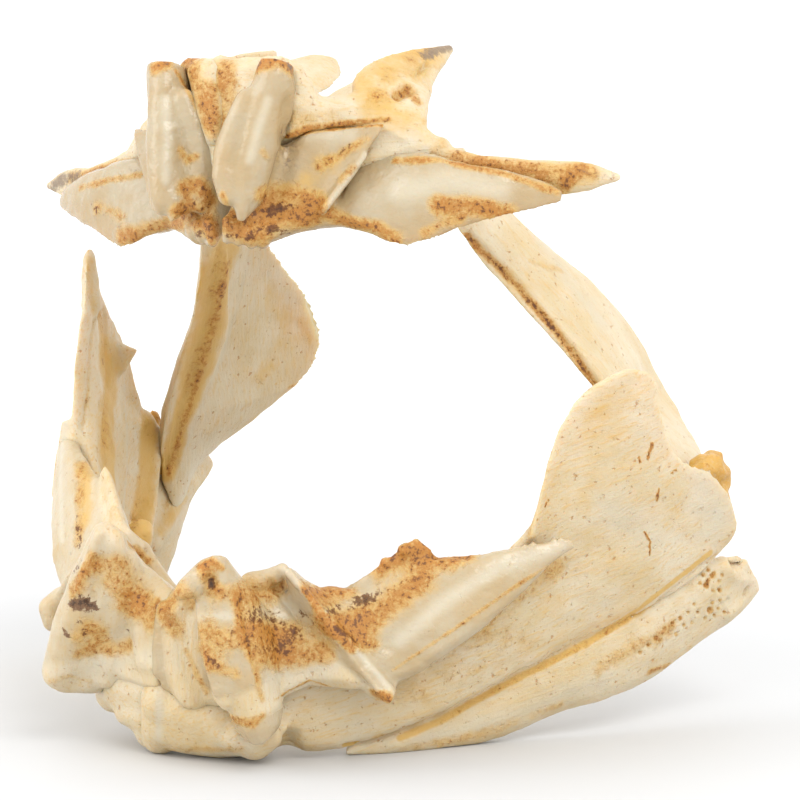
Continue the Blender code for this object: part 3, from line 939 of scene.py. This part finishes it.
LOWER_TOOTH_LEFT = Bone("lower_tooth_plate_left", "tooth_enamel",
    grained("lower_enamel_left", 0.0, 90.0, 0.3), voxel=0.24, enamel=0.6, seed=3.0, crevice_stain_and_shade=0.35, clay=(
    rope(0.2, (166, 610, 1.3), (165, 640, 1.6), (164, 668, 1.6)),
    rope(0.3, (180, 600, 1.6), (176, 630, 2.2), (180, 665, 2.6), (196, 690, 2.6)),
    rope(0.4, (208, 600, 1.5), (216, 640, 2.2), (232, 690, 2.4)),
    rope(0.3, (208, 568, 1.2), (200, 578, 1.5), (188, 588, 1.3), (180, 594, 0.8), deep_as=(214, 580)),
    rope(0.3, (282, 572, 1.0), (268, 578, 1.2), (252, 582, 1.3), (238, 594, 1.2), deep_as=(286, 585)),
    rope(0.3, (202, 586, 1.6), (190, 600, 1.6), (178, 611, 1.4), deep_as=(185, 622)),
    rope(0.3, (282, 585, 1.2), (268, 592, 1.4), (252, 598, 1.2), deep_as=(286, 592)),
), carvings=(
    cut(0.35, 1.1, (283, 567), (318, 607), (352, 645), (390, 688)),
    cut(0.3, 0.8, (201, 574), (198, 600), (200, 622), (208, 668), (216, 694)), cut(-0.5, 1.2, (212, 582)),
    cut(-0.25, 0.7, (241, 600), (249, 640), (258, 680)),
    cut(-0.25, 0.7, (270, 582), (300, 622), (340, 662), (372, 690)),
    *(cut(0.4, 0.5, spot) for spot in ((554, 541), (561, 540), (533, 545))), cut(0.3, 0.5, (525, 547)),
    cut(0.6, 1.2, (404, 550)), cut(-0.5, 1.0, (436, 556)), cut(0.5, 1.0, (385, 562)),
), brushes=(
    dark(1.0, 0.9, (211, 581), (212, 586)), stain_and_shade(0.7, 2.0, (205, 568), (215, 592)),
    stain_and_shade(0.7, 0.8, (201, 566), (212, 560), (222, 568)), pale(0.9, 1.0, (200, 618), (216, 616), (232, 615)),
    stain_and_shade(0.6, 2.6, (172, 600), (180, 592), (190, 600)),
    stain_and_shade(0.75, 2.2, (163, 612), (168, 622), (176, 628)),
    stain_and_shade(0.5, 2.6, (200, 632), (215, 640), (228, 640)),
    stain_and_shade(0.6, 1.6, (199, 648), (212, 668), (235, 672)),
    dark(0.35, 1.2, (200, 640), (210, 660), (222, 672)), dark(0.35, 1.0, (229, 630), (234, 640)),
    stain_and_shade(0.6, 0.9, (186, 650), (196, 672), (206, 692)),
    stain_and_shade(0.75, 1.2, (225, 716), (238, 721), (252, 724), (262, 716)),
    stain_and_shade(0.7, 1.4, (237, 598), (243, 632), (250, 655)), stain_and_shade(0.6, 1.1, (252, 660), (262, 700)),
    dark(0.55, 2.4, (244, 618), (262, 616), (284, 624), (296, 634)),
    dark(0.5, 1.8, (250, 642), (262, 652), (285, 645)), stain_and_shade(0.6, 3.4, (250, 625), (280, 640)),
    dark(0.5, 1.2, (300, 612), (312, 620)), stain_and_shade(0.7, 3.4, (243, 598), (262, 592), (278, 585)),
    stain_and_shade(0.7, 2.6, (262, 656), (300, 655), (325, 655)), stain_and_shade(0.6, 2.4, (250, 632), (290, 632)),
    stain_and_shade(0.4, 4.5, (262, 640), (310, 640), (350, 620)), stain_and_shade(0.4, 3.5, (215, 600), (212, 650)),
    enamel(-0.8, 3.0, (180, 620), (184, 690)),
    enamel(-0.9, 2.6, (200, 702), (240, 712), (280, 690), (330, 680), (385, 700)),
    stain_and_shade(0.75, 0.8, (306, 590), (325, 622), (352, 650)),
    pale(0.9, 0.7, (283, 568), (318, 607), (352, 645), (388, 686)),
    pale(0.6, 2.6, (270, 680), (300, 668), (330, 668)), stain_and_shade(1.0, 1.5, (374, 694), (388, 699)),
    stain_and_shade(0.9, 3.4, (312, 596), (335, 590), (352, 580), (375, 566), (405, 552), (425, 550)),
    stain_and_shade(0.85, 3.0, (430, 558), (450, 560), (478, 552), (505, 545), (518, 541)),
    dark(0.5, 1.8, (328, 612), (345, 606), (365, 600), (380, 596)), dark(0.5, 1.6, (336, 628), (350, 636)),
    dark(0.35, 1.6, (395, 585), (410, 575)),
    stain_and_shade(0.8, 3.2, (322, 622), (350, 628), (372, 618), (395, 600), (420, 580)),
    stain_and_shade(0.5, 2.2, (352, 640), (372, 642)), pale(0.8, 1.6, (400, 640), (440, 605), (500, 566), (560, 546)),
    stain_and_shade(0.7, 0.35, (275, 700), (290, 690), (310, 680), (340, 690), (370, 700), (393, 700)),
    stain_and_shade(0.6, 0.5, (393, 670), (450, 632), (510, 590), (565, 555)),
))
LOWER_TOOTH_RIGHT = Bone("lower_tooth_plate_right", "tooth_enamel",
    grained("lower_enamel_right", 0.0, 90.0, 0.3), voxel=0.24, enamel=0.5, seed=5.0, crevice_stain_and_shade=0.35, clay=(
    rope(0.3, (104, 535, 1.6), (90, 580, 2.4), (75, 630, 2.8), (62, 670, 2.4)),
    rope(0.4, (110, 540, 1.8), (118, 590, 2.6), (120, 640, 2.8), (110, 670, 2.4)),
    rope(0.3, (128, 560, 1.4), (140, 590, 1.8), (148, 630, 2.2), (150, 660, 2.0)),
    rope(0.2, (155, 615, 1.3), (157, 640, 1.5), (157, 664, 1.5)),
    rope(0.3, (62, 598, 1.4), (51, 608, 1.4), (53, 622, 1.2), deep_as=(60, 600)),
), carvings=(
    cut(0.35, 1.0, (98, 535), (84, 570), (78, 590)), cut(-0.4, 1.2, (92, 600), (98, 560)),
), brushes=(
    stain_and_shade(0.6, 2.2, (78, 635), (88, 628), (100, 632)),
    stain_and_shade(0.55, 2.0, (80, 655), (95, 648), (112, 650), (130, 645)),
    stain_and_shade(0.6, 1.8, (72, 592), (80, 578), (88, 565)), dark(0.75, 1.6, (74, 604), (84, 602), (92, 606)),
    dark(0.6, 1.2, (64, 632), (68, 636)), dark(0.5, 1.0, (78, 622), (84, 634)),
    dark(0.45, 1.0, (128, 630), (130, 636)), dark(0.5, 1.2, (75, 570), (82, 560)),
    stain_and_shade(0.55, 1.2, (92, 555), (97, 565)), stain_and_shade(0.4, 3.0, (110, 560), (125, 600)),
    stain_and_shade(0.85, 1.3, (130, 545), (138, 552), (147, 560)),
    stain_and_shade(0.6, 2.6, (135, 600), (145, 610), (152, 622)),
    stain_and_shade(0.22, 5.0, (100, 580), (120, 600), (100, 630)), stain_and_shade(0.35, 4.0, (130, 570), (145, 610)),
    pale(0.9, 0.9, (84, 588), (92, 586)), stain_and_shade(0.6, 2.0, (82, 465), (80, 500), (78, 540)),
    dark(0.5, 1.2, (76, 515), (80, 545)), gold(0.7, 3.0, (86, 470), (84, 520)),
    pale(0.9, 1.0, (63, 430), (60, 480), (62, 540)), pale(0.5, 2.2, (62, 676), (100, 664), (145, 655)),
    enamel(-0.9, 3.4, (60, 680), (100, 672), (150, 665)),
    enamel(-0.9, 2.2, (104, 475), (112, 505), (120, 535)),
    gold(0.4, 3.0, (104, 480), (112, 510), (120, 535)), pale(0.8, 0.6, (93, 477), (91, 498)),
    stain_and_shade(0.2, 2.4, (106, 490), (114, 520)), stain_and_shade(0.7, 0.8, (158, 600), (160, 640), (161, 660)),
    stain_and_shade(0.4, 1.0, (50, 682), (70, 676), (90, 682)),
))
MANDIBLE_LEFT = Bone("mandible_left", "bone", grained("lower_bone_left", 50.0, -16.0), voxel=0.3, rounds=40,
    seed=7.0, crevice_stain_and_shade=0.3, filleting=50, softening=8, clay=(
    rope(0.05, (162, 675, 2.2), (160, 700, 2.2), (160, 735, 2.2)),
    rope(2.2, (168, 700, 3.2), (188, 706, 3.4), (208, 714, 3.2), (228, 728, 2.6)),
    rope(1.2, (166, 722, 3.0), (190, 728, 3.0), (215, 734, 2.6), (240, 740, 2.0)),
    rope(3.0, (238, 734, 2.2), (256, 741, 2.4), (272, 730, 2.0)),
    rope(0.2, (576, 405, 0.5), (592, 391, 0.6), (612, 379, 0.6), (628, 372, 0.6), (646, 373, 0.6),
         (656, 387, 0.6)),
), carvings=(
    cut(-1.2, 2.2, (287, 740), (289, 752)), cut(-0.5, 1.4, (284, 722), (287, 738)),
    cut(-0.3, 0.5, (345, 745), (400, 735), (450, 712), (540, 670), (600, 640), (660, 600), (715, 556)),
), brushes=(
    gold(1.0, 0.9, (345, 744), (400, 736), (440, 719), (493, 689), (546, 662), (592, 638), (639, 609),
         (710, 553)),
    gold(0.35, 5.0, (570, 420), (620, 400), (640, 440)),
    stain_and_shade(0.45, 1.6, (560, 410), (545, 470), (530, 530)),
    stain_and_shade(3.0, 0.27, (652, 444), (650, 452), (648, 458)), stain_and_shade(3.0, 0.26, (639, 458), (640, 462)),
    stain_and_shade(3.0, 0.27, (672, 472), (676, 470)), stain_and_shade(3.0, 0.26, (659, 490), (657, 500)),
    stain_and_shade(3.0, 0.26, (645, 532), (650, 542), (650, 554)), stain_and_shade(3.0, 0.25, (545, 506), (548, 500)),
    pale(0.5, 4.0, (600, 500), (650, 540)), stain_and_shade(0.4, 3.0, (450, 645), (500, 615), (550, 575)),
    stain_and_shade(0.3, 5.0, (400, 690), (450, 680), (520, 640)), stain_and_shade(0.35, 2.4, (300, 748), (330, 750)),
    stain_and_shade(0.4, 1.4, (170, 750), (240, 750)), stain_and_shade(0.35, 3.0, (150, 680), (168, 684)),
    stain_and_shade(0.5, 1.4, (375, 738), (430, 722)), pale(0.8, 0.9, (162, 672), (159, 700), (158, 740)),
    pale(0.7, 4.5, (700, 475), (718, 520)), stain_and_shade(0.3, 2.5, (535, 575), (560, 560)),
    gold(0.4, 6.0, (600, 440), (590, 500)),
))
MANDIBLE_RIGHT = Bone("mandible_right", "bone", grained("lower_bone_right", 130.0, -16.0), voxel=0.3,
    rounds=40, seed=9.0, crevice_stain_and_shade=0.3, filleting=50, softening=7, clay=(
    rope(1.2, (116, 690, 2.6), (135, 688, 2.8), (155, 688, 2.8)),
    rope(0.8, (135, 708, 2.6), (155, 715, 2.8), (152, 732, 2.2)),
    rope(0.4, (117, 352, 1.4), (127, 354, 1.0), (136, 350, 0.4), deep_as=(114, 370)),
    rope(0.4, (120, 366, 1.2), (127, 358, 0.8), deep_as=(114, 370)),
    rope(0.15, (90, 251, 0.35), (89, 262, 0.9), (90, 280, 1.3), (91, 305, 1.3)),
    rope(0.8, (119, 684, 2.2), (130, 691, 2.3), (139, 700, 2.4), (150, 709, 2.4), (161, 717, 2.4)),
    rope(0.6, (70, 434, 1.2), (80, 446, 1.4), (86, 462, 1.2)),
    rope(0.6, (133, 425, 1.0), (144, 417, 1.0), (151, 432, 1.3), (148, 480, 1.6), (140, 540, 1.8)),
    rope(0.4, (66, 424, 0.7), (61, 460, 0.9), (60, 520, 1.1), (62, 560, 1.1)),
), carvings=(
    cut(-0.5, 1.6, (105, 320), (108, 380), (105, 440)),
    cut(-0.25, 0.7, (104, 309), (94, 322), (90, 345), (88, 390), (82, 430)),
), brushes=(
    stain_and_shade(0.45, 3.4, (102, 320), (104, 400), (104, 480), (112, 520)),
    stain_and_shade(0.35, 1.6, (88, 270), (90, 300)), stain_and_shade(0.3, 3.0, (112, 380), (112, 450)),
    pale(0.7, 0.6, (127, 425), (127, 470), (122, 520)), gold(1.0, 7.0, (104, 350), (108, 410), (110, 490)),
    gold(0.5, 2.5, (90, 262), (92, 310)),
    stain_and_shade(0.4, 0.5, (104, 309), (94, 322), (90, 345), (88, 390), (82, 430)),
    pale(0.6, 0.5, (112, 318), (120, 350), (124, 375), (126, 420)),
    # The gold and orange on the rear lobe are its brown colour together with painted shade of its medial
    # side.
    gold(1.0, 4.0, (146, 428), (146, 480), (140, 535)), stain_and_shade(0.5, 1.6, (138, 480), (134, 530)),
    pale(0.9, 1.0, (65, 425), (60, 480), (60, 550)), stain_and_shade(0.7, 1.0, (75, 450), (78, 480), (72, 520)),
    pale(0.9, 0.5, (92, 478), (88, 505)), stain_and_shade(0.9, 0.6, (96, 480), (90, 520)),
))
PORES = (
    (703, 575), (708, 580), (714, 573), (719, 581), (706, 587), (713, 590), (700, 583), (718, 590),
    (708, 570), (722, 575), (712, 603), (718, 608), (714, 615), (724, 612), (705, 618), (720, 600),
    (694, 604), (688, 612), (680, 618), (672, 624), (664, 629), (676, 634), (655, 638), (648, 645),
    (660, 640), (640, 652), (692, 622),
)
ANGULAR_LEFT = Bone("angular_left", "bone", grained("angular_bone_left", 50.0, -16.0, 0.3), voxel=0.28,
    seed=11.0, crevice_stain_and_shade=0.3, clay=(
    rope(0.1, (352, 746, 0.8), (400, 739, 1.2), (460, 712, 1.3), (540, 673, 1.4), (600, 644, 1.4),
         (660, 604, 1.3), (704, 562, 1.0)),
    rope(0.1, (495, 686, 1.2), (530, 668, 1.4), (565, 652, 1.4), (600, 638, 1.4), (640, 616, 1.3),
         (676, 592, 1.2), (702, 568, 0.9)),
    rope(-1.2, (505, 683, 1.6), (540, 665, 1.7), (575, 649, 1.7), (610, 633, 1.7), (645, 613, 1.6),
         (676, 593, 1.4)),
    rope(0.35, (395, 735, 0.7), (450, 711, 0.9), (540, 670, 1.0), (600, 640, 1.0), (660, 600, 1.0),
         (706, 558, 0.9)),
    rope(0.2, (722, 566, 1.2), (736, 578, 0.9), (753, 582, 0.35)),
    rope(0.2, (725, 610, 1.2), (740, 602, 0.6)),
), carvings=(
    cut(-0.9, 1.1, (746, 592)), cut(-0.5, 0.6, (706, 585)), cut(-0.5, 0.6, (712, 576)),
    cut(-0.5, 0.5, (720, 590)), cut(-0.5, 0.7, (710, 610)),
    *(cut(-0.4, 0.5, spot) for spot in ((698, 612), (728, 600), (722, 604), (700, 572))),
    cut(-0.3, 0.5, (684, 625)), cut(-0.3, 0.4, (671, 632)), cut(-1.2, 1.6, (744, 558), (736, 560)),
    *(cut(-0.3, 0.42, pore) for pore in PORES),
), brushes=(
    stain_and_shade(0.4, 1.6, (400, 750), (480, 735), (560, 705)),
    stain_and_shade(0.5, 2.0, (600, 668), (640, 645), (670, 628)),
    gold(1.0, 0.9, (400, 738), (440, 721), (493, 691), (546, 664), (592, 640), (639, 611), (706, 556)),
    stain_and_shade(0.45, 0.6, (440, 722), (493, 692), (546, 665), (592, 641), (639, 612)),
    gold(0.35, 3.5, (640, 630), (690, 590)), stain_and_shade(0.8, 0.7, (706, 585)), stain_and_shade(0.8, 0.7, (712, 576)),
    stain_and_shade(0.8, 0.6, (720, 590)), stain_and_shade(0.9, 0.9, (710, 610)), stain_and_shade(0.7, 0.6, (698, 612)),
    stain_and_shade(0.7, 0.7, (684, 625)), stain_and_shade(0.8, 1.0, (650, 672), (668, 665)),
    pale(0.6, 2.5, (420, 742), (520, 715), (600, 680)), *(stain_and_shade(0.8, 0.5, pore) for pore in PORES),
))
ANGULAR_RIGHT = Bone("angular_right", "bone", grained("angular_bone_right", 130.0, -16.0, 0.3), voxel=0.28,
    seed=13.0, crevice_stain_and_shade=0.3, clay=(
    rope(0.4, (150, 545, 1.4), (172, 508, 1.3), (192, 485, 1.0), (204, 474, 0.7), (212, 465, 0.35)),
), brushes=(
    gold(0.6, 3.0, (160, 530), (185, 500)), stain_and_shade(0.5, 1.0, (165, 505), (180, 490)),
))
PALATE_LEFT = Bone("palate_left", "bone", grained("upper_bone_left", 27.0, 0.0, 0.35), voxel=0.26,
    seed=15.0, crevice_stain_and_shade=0.35, filleting=24, clay=(
    rope(0.05, (221, 68, 1.6), (221, 100, 1.6), (219, 138, 1.6)),
    rope(0.3, (299, 104, 1.8), (315, 114, 2.0), (345, 112, 2.0), (378, 106, 2.0)),
    rope(0.2, (300, 85, 1.4), (306, 100, 1.6)),
    rope(0.3, (360, 158, 1.8), (400, 150, 1.8), (440, 150, 1.5)),
), carvings=(
    cut(-1.0, 1.3, (398, 95), (410, 88)), cut(0.4, 0.4, (412, 76), (424, 62)),
    cut(0.4, 0.4, (420, 78), (432, 64)), cut(-0.4, 1.0, (418, 72), (428, 66)),
), brushes=(
    grey(0.9, 1.6, (425, 56), (438, 49), (450, 46)), stain_and_shade(0.5, 1.8, (412, 62), (430, 52)),
    stain_and_shade(0.75, 1.6, (396, 98), (408, 90), (416, 100)), stain_and_shade(0.55, 1.6, (375, 96), (382, 92)),
    stain_and_shade(0.7, 2.2, (455, 162), (500, 166), (545, 172), (590, 174)),
    stain_and_shade(0.75, 1.8, (540, 182), (560, 192), (568, 180)), grey(0.55, 1.2, (585, 172), (612, 176)),
    stain_and_shade(0.5, 1.4, (575, 168), (590, 172)), stain_and_shade(0.6, 3.4, (222, 70), (224, 95), (222, 125)),
    stain_and_shade(0.6, 2.0, (219, 120), (219, 150)), dark(0.45, 1.0, (216, 125), (218, 138)),
    # The two broad gold washes here and the broad orange one after them are painted shade on the top-lit
    # ascending process.
    gold(0.7, 7.0, (370, 78), (400, 62), (424, 50)), gold(0.6, 6.0, (385, 112), (420, 125)),
    stain_and_shade(0.35, 4.0, (380, 80), (410, 62)), stain_and_shade(0.5, 2.2, (225, 80), (232, 65)),
    pale(0.5, 3.0, (350, 80), (385, 70)), stain_and_shade(0.85, 0.8, (286, 137), (310, 129), (345, 124), (388, 119)),
    stain_and_shade(0.35, 2.5, (292, 120), (330, 118)), stain_and_shade(0.4, 3.0, (440, 150), (480, 158)),
    pale(0.5, 3.0, (400, 130), (430, 150)),
))
PALATE_RIGHT = Bone("palate_right", "bone", grained("upper_bone_right", 153.0, 0.0, 0.35), voxel=0.26,
    seed=17.0, crevice_stain_and_shade=0.35, clay=(
    rope(0.8, (204, 74, 1.9), (207, 90, 1.9), (211, 112, 1.8), (216, 135, 1.3)),
    rope(0.8, (212, 73, 1.8), (214, 95, 1.8), (217, 120, 1.5)),
), brushes=(
    grey(0.9, 2.0, (50, 188), (62, 180), (78, 176)), stain_and_shade(0.7, 1.6, (70, 178), (100, 170), (132, 163)),
    stain_and_shade(0.7, 3.2, (188, 68), (198, 90), (206, 118)), stain_and_shade(0.6, 2.2, (210, 90), (214, 130)),
    stain_and_shade(0.8, 1.2, (180, 62), (200, 58)), dark(0.4, 1.0, (212, 120), (215, 138)),
))
UPPER_TOOTH_LEFT = Bone("upper_tooth_plate_left", "tooth_enamel",
    grained("upper_enamel_left", 0.0, 90.0, 0.3), voxel=0.22, enamel=0.85, seed=19.0, crevice_stain_and_shade=0.3, clay=(
    rope(0.4, (274, 80, 2.2), (262, 115, 2.2), (252, 150, 2.1), (243, 180, 1.7), (242, 205, 0.9),
         (243, 219, 0.35)),
    rope(0.3, (228, 222, 1.0), (227, 239, 0.8)), rope(0.3, (238, 228, 1.0), (238, 241, 0.8)),
    rope(0.3, (250, 230, 1.0), (251, 244, 0.7)), rope(0.3, (262, 230, 0.9), (263, 243, 0.7)),
    rope(0.6, (248, 100, 1.4), (236, 130, 1.6), (227, 155, 1.7), (225, 175, 1.6),
         (229, 195, 1.3), deep_as=(245, 150)),
), carvings=(
    cut(0.35, 0.9, (388, 122), (358, 165), (322, 212)),
    cut(-0.6, 2.4, (287, 110), (286, 140), (281, 165), (273, 190)),
), brushes=(
    stain_and_shade(1.0, 2.2, (252, 70), (262, 62), (278, 58), (291, 66)), grey(0.6, 1.3, (284, 60), (294, 74)),
    stain_and_shade(0.9, 2.6, (225, 222), (240, 232), (262, 236)), dark(0.5, 1.4, (228, 236), (250, 240)),
    stain_and_shade(0.7, 1.0, (222, 195), (228, 208), (236, 216)), stain_and_shade(0.35, 1.0, (262, 152), (266, 158)),
    pale(0.7, 1.0, (268, 100), (258, 130), (250, 160)),
    stain_and_shade(0.85, 2.4, (262, 195), (285, 192), (310, 200), (320, 206)),
    stain_and_shade(0.9, 2.6, (250, 215), (285, 212), (310, 215)), dark(0.6, 1.6, (270, 210), (295, 205)),
    dark(0.6, 1.8, (255, 230), (285, 232)), stain_and_shade(0.5, 3.0, (250, 224), (300, 220)),
    stain_and_shade(0.85, 0.7, (286, 140), (310, 132), (345, 128), (384, 124)),
    grey(0.5, 3.6, (284, 128), (290, 150), (280, 175)), gold(0.5, 4.5, (300, 190), (330, 170)),
    dark(0.35, 1.2, (335, 155), (345, 150), (352, 143)),
    stain_and_shade(0.55, 1.4, (320, 168), (345, 152), (365, 140)), stain_and_shade(0.5, 1.2, (340, 180), (352, 168)),
    pale(0.9, 0.6, (388, 124), (358, 166), (322, 213)), pale(0.6, 2.0, (300, 132), (350, 134)),
    stain_and_shade(0.85, 1.8, (328, 214), (352, 224), (378, 228), (394, 238)),
    dark(0.3, 1.2, (385, 225), (392, 236)), stain_and_shade(0.7, 1.0, (395, 160), (440, 160), (500, 172), (556, 192)),
    pale(0.7, 2.4, (400, 190), (450, 180), (500, 190)),
    stain_and_shade(0.85, 2.2, (438, 206), (460, 204), (480, 207), (510, 214)),
    stain_and_shade(0.6, 1.4, (425, 232), (440, 225), (460, 220)), dark(0.35, 0.8, (505, 212), (515, 216)),
))
UPPER_TOOTH_RIGHT = Bone("upper_tooth_plate_right", "tooth_enamel",
    grained("upper_enamel_right", 0.0, 90.0, 0.3), voxel=0.22, enamel=0.85, seed=21.0, crevice_stain_and_shade=0.3, clay=(
    rope(0.4, (165, 80, 2.0), (166, 120, 2.3), (166, 160, 2.2), (164, 195, 1.6), (163, 221, 0.5)),
    rope(0.3, (192, 222, 0.9), (193, 234, 0.7)), rope(0.3, (200, 225, 1.0), (202, 238, 0.8)),
    rope(0.3, (210, 226, 1.0), (212, 242, 0.8)), rope(0.3, (186, 205, 0.8), (186, 222, 0.6)),
    rope(1.0, (184, 100, 1.5), (194, 125, 2.0), (202, 150, 2.2), (204, 175, 2.2),
         (200, 200, 1.6), deep_as=(182, 150)),
), brushes=(
    stain_and_shade(1.0, 2.0, (156, 67), (168, 60), (184, 66)), stain_and_shade(0.9, 3.0, (185, 214), (205, 222), (215, 236)),
    dark(0.5, 1.4, (198, 232), (212, 238)), stain_and_shade(0.7, 0.9, (177, 72), (196, 105), (210, 130), (216, 145)),
    grey(0.4, 1.2, (160, 64), (172, 62)), stain_and_shade(0.85, 2.0, (185, 188), (200, 186), (210, 200)),
    stain_and_shade(0.75, 1.5, (176, 210), (188, 205), (200, 210)), dark(0.5, 1.2, (196, 205), (206, 215)),
    stain_and_shade(0.45, 1.0, (180, 150), (186, 160), (196, 156)),
    pale(0.7, 1.0, (165, 100), (168, 140), (166, 180)), stain_and_shade(0.8, 2.2, (122, 238), (150, 230), (180, 222)),
    stain_and_shade(0.6, 1.0, (80, 188), (110, 180), (140, 175)), stain_and_shade(0.5, 1.8, (95, 208), (110, 210), (122, 216)),
    dark(0.4, 1.0, (92, 205), (104, 216)),
))
STRUT_LEFT = Bone("suspensorium_left", "bone", grained("strut_bone_left", 49.0, 55.0, 0.3), voxel=0.22,
    seed=23.0, crevice_stain_and_shade=0.25, carvings=(
    cut(-0.6, 1.2, (470, 238), (520, 288), (558, 332), (575, 357), (593, 384)),
), brushes=(
    stain_and_shade(0.75, 1.2, (466, 236), (515, 284), (556, 332), (575, 357), (593, 384)),
    dark(0.5, 0.5, (490, 258), (540, 312), (585, 372)), stain_and_shade(0.35, 1.0, (530, 262), (560, 270)),
    pale(0.5, 3.0, (540, 240), (600, 320)), gold(0.3, 2.0, (650, 400), (690, 450)),
))
STRUT_RIGHT = Bone("suspensorium_right", "bone", grained("strut_bone_right", 131.0, 55.0, 0.3), voxel=0.22,
    seed=25.0, crevice_stain_and_shade=0.2, carvings=(
    cut(-0.7, 2.2, (222, 250), (205, 330), (186, 400), (168, 465)),
), brushes=(
    gold(1.0, 8.0, (227, 236), (221, 270)), gold(1.0, 5.5, (217, 290), (207, 335), (199, 362)),
    gold(1.0, 4.0, (195, 370), (188, 395)), gold(1.0, 3.0, (184, 405), (174, 445), (165, 474)),
    stain_and_shade(0.7, 1.7, (229, 262), (220, 300), (211, 335), (203, 362)),
    stain_and_shade(0.75, 1.0, (200, 372), (190, 405), (180, 436), (168, 474)),
    stain_and_shade(0.4, 2.6, (222, 244), (212, 290)), stain_and_shade(0.4, 1.2, (196, 350), (184, 395)),
    pale(0.4, 0.8, (250, 258), (234, 318), (216, 370), (198, 415), (180, 460)),
    gold(0.45, 4.0, (270, 290), (290, 330), (260, 380)), stain_and_shade(0.35, 1.4, (300, 320), (310, 340)),
    stain_and_shade(0.7, 0.9, (290, 387), (300, 384)), stain_and_shade(0.6, 0.5, (276, 384)),
    stain_and_shade(0.4, 1.2, (243, 408), (250, 404)), stain_and_shade(0.35, 1.6, (226, 404), (212, 430)),
))
PAD_LEFT = Bone("joint_pad_left", "cartilage", CARTILAGE_FINISH, voxel=0.25, seed=27.0, crevice_stain_and_shade=0.0,
    grain=((3.0, 0.9), (1.2, 0.35)))
PAD_RIGHT = Bone("joint_pad_right", "cartilage", CARTILAGE_FINISH, voxel=0.25, seed=29.0, crevice_stain_and_shade=0.0,
    grain=((3.0, 0.7), (1.2, 0.3)))
LOWER_JAW = Assembly("lower jaw", (LOWER_TOOTH_LEFT, LOWER_TOOTH_RIGHT, MANDIBLE_LEFT, MANDIBLE_RIGHT,
                                   ANGULAR_LEFT, ANGULAR_RIGHT))
UPPER_JAW = Assembly("upper jaw", (PALATE_LEFT, PALATE_RIGHT, UPPER_TOOTH_LEFT, UPPER_TOOTH_RIGHT,
                                   STRUT_LEFT, STRUT_RIGHT))
JOINTS = Assembly("joints", (PAD_LEFT, PAD_RIGHT))


def main() -> None:
    """Build the specimen and the studio, and note the sizes."""
    logging.basicConfig(level=logging.INFO, format="%(message)s")
    for assembly in (LOWER_JAW, UPPER_JAW, JOINTS):
        assembly.build()
    Studio().build()


if __name__ == "__main__":
    main()
